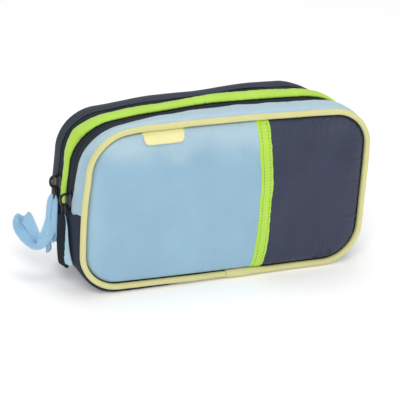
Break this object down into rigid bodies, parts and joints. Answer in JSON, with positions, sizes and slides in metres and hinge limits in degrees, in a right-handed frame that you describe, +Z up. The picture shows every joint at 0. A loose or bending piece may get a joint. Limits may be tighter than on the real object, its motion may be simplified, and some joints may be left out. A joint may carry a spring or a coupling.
{
  "type": "zipped travel pouch",
  "caption": "Soft padded travel pouch for pills and first-aid items, with two zipped compartments, a front slip pocket, round piping and webbing zip pulls.",
  "frame": {"origin": "centre of the base, on the surface the pouch stands on", "axes": "+X to the right of the front panel and along the longest side, the front panel faces -Y, +Z up"},
  "size_m": [0.2524, 0.0708, 0.126],
  "materials": {
    "navy_nylon": "navy blue nylon, soft sheen",
    "blue_nylon": "light blue nylon, soft sheen",
    "lime_nylon": "lime green nylon binding",
    "yellow_piping": "pale yellow piping, satin",
    "navy_piping": "navy piping, satin",
    "yellow_label": "pale yellow blank label, satin",
    "zip_tape": "navy woven zip tape, matt",
    "zip_coil": "navy nylon coil",
    "lining": "grey lining on foam, matt",
    "foam": "foam filler strip",
    "elastic": "navy ribbed elastic",
    "mesh": "navy knitted mesh",
    "slider_metal": "dark enamelled zip slider",
    "black_wire": "black enamelled wire",
    "navy_webbing": "navy webbing",
    "blue_webbing": "light blue ribbed ribbon"
  },
  "bodies": {
    "root": {"lower_gusset": "navy_nylon", "centre_band": "lime_nylon", "centre_band_core": "foam", "front_zip_frame_tape": "zip_tape", "rear_zip_frame_tape": "zip_tape", "front_zip_frame_coil": "zip_coil", "rear_zip_frame_coil": "zip_coil", "divider_wall": "lining", "elastic_holder": "elastic", "mesh_pocket": "mesh", "mesh_pocket_binding": "lime_nylon", "front_panel_lower": "navy_nylon", "front_lining_lower": "lining", "front_pocket_lower": "blue_nylon", "pocket_binding_lower": "lime_nylon", "front_piping_lower": "yellow_piping", "piping_joint_sleeve": "yellow_piping", "rear_panel_lower": "navy_nylon", "rear_lining_lower": "lining", "rear_piping_lower": "navy_piping"},
    "front_flap": {"front_upper_band": "blue_nylon", "front_zip_flap_tape": "zip_tape", "front_zip_flap_coil": "zip_coil", "front_panel_upper": "navy_nylon", "front_lining_upper": "lining", "front_pocket_upper": "blue_nylon", "pocket_binding_upper": "lime_nylon", "front_piping_upper": "yellow_piping", "label_tab": "yellow_label"},
    "rear_flap": {"rear_upper_band": "navy_nylon", "rear_zip_flap_tape": "zip_tape", "rear_zip_flap_coil": "zip_coil", "rear_panel_upper": "navy_nylon", "rear_lining_upper": "lining", "rear_piping_upper": "navy_piping"},
    "front_slider": {"front_slider_body": "slider_metal", "front_slider_crown": "black_wire"},
    "rear_slider": {"rear_slider_body": "slider_metal", "rear_slider_crown": "black_wire"},
    "front_pull": {"front_pull_link": "black_wire", "front_pull_tab": "navy_webbing", "front_pull_leaf": "blue_webbing"},
    "rear_pull": {"rear_pull_link": "black_wire", "rear_pull_tab": "blue_webbing", "rear_pull_ribbon": "blue_webbing"}
  },
  "joints": [
    {"name": "front_flap_fold", "type": "hinge", "parent": "root", "child": "front_flap", "pos_m": [0, -0.0372, 0.054], "axis": [1, 0, 0], "range_deg": [0, 75]},
    {"name": "rear_flap_fold", "type": "hinge", "parent": "root", "child": "rear_flap", "pos_m": [0, 0.0352, 0.054], "axis": [-1, 0, 0], "range_deg": [0, 75]},
    {"name": "front_slider_run", "type": "slide", "parent": "root", "child": "front_slider", "axis": [0, 0, 1], "range_m": [-0.002, 0.014]},
    {"name": "rear_slider_run", "type": "slide", "parent": "root", "child": "rear_slider", "axis": [0, 0, 1], "range_m": [-0.006, 0.012]},
    {"name": "front_pull_swing", "type": "hinge", "parent": "front_slider", "child": "front_pull", "pos_m": [-0.113, -0.005, 0.06225], "axis": [0, 1, 0], "range_deg": [0, 130]},
    {"name": "rear_pull_swing", "type": "hinge", "parent": "rear_slider", "child": "rear_pull", "pos_m": [-0.113, 0.017, 0.06725], "axis": [0, 1, 0], "range_deg": [0, 130]}
  ]
}
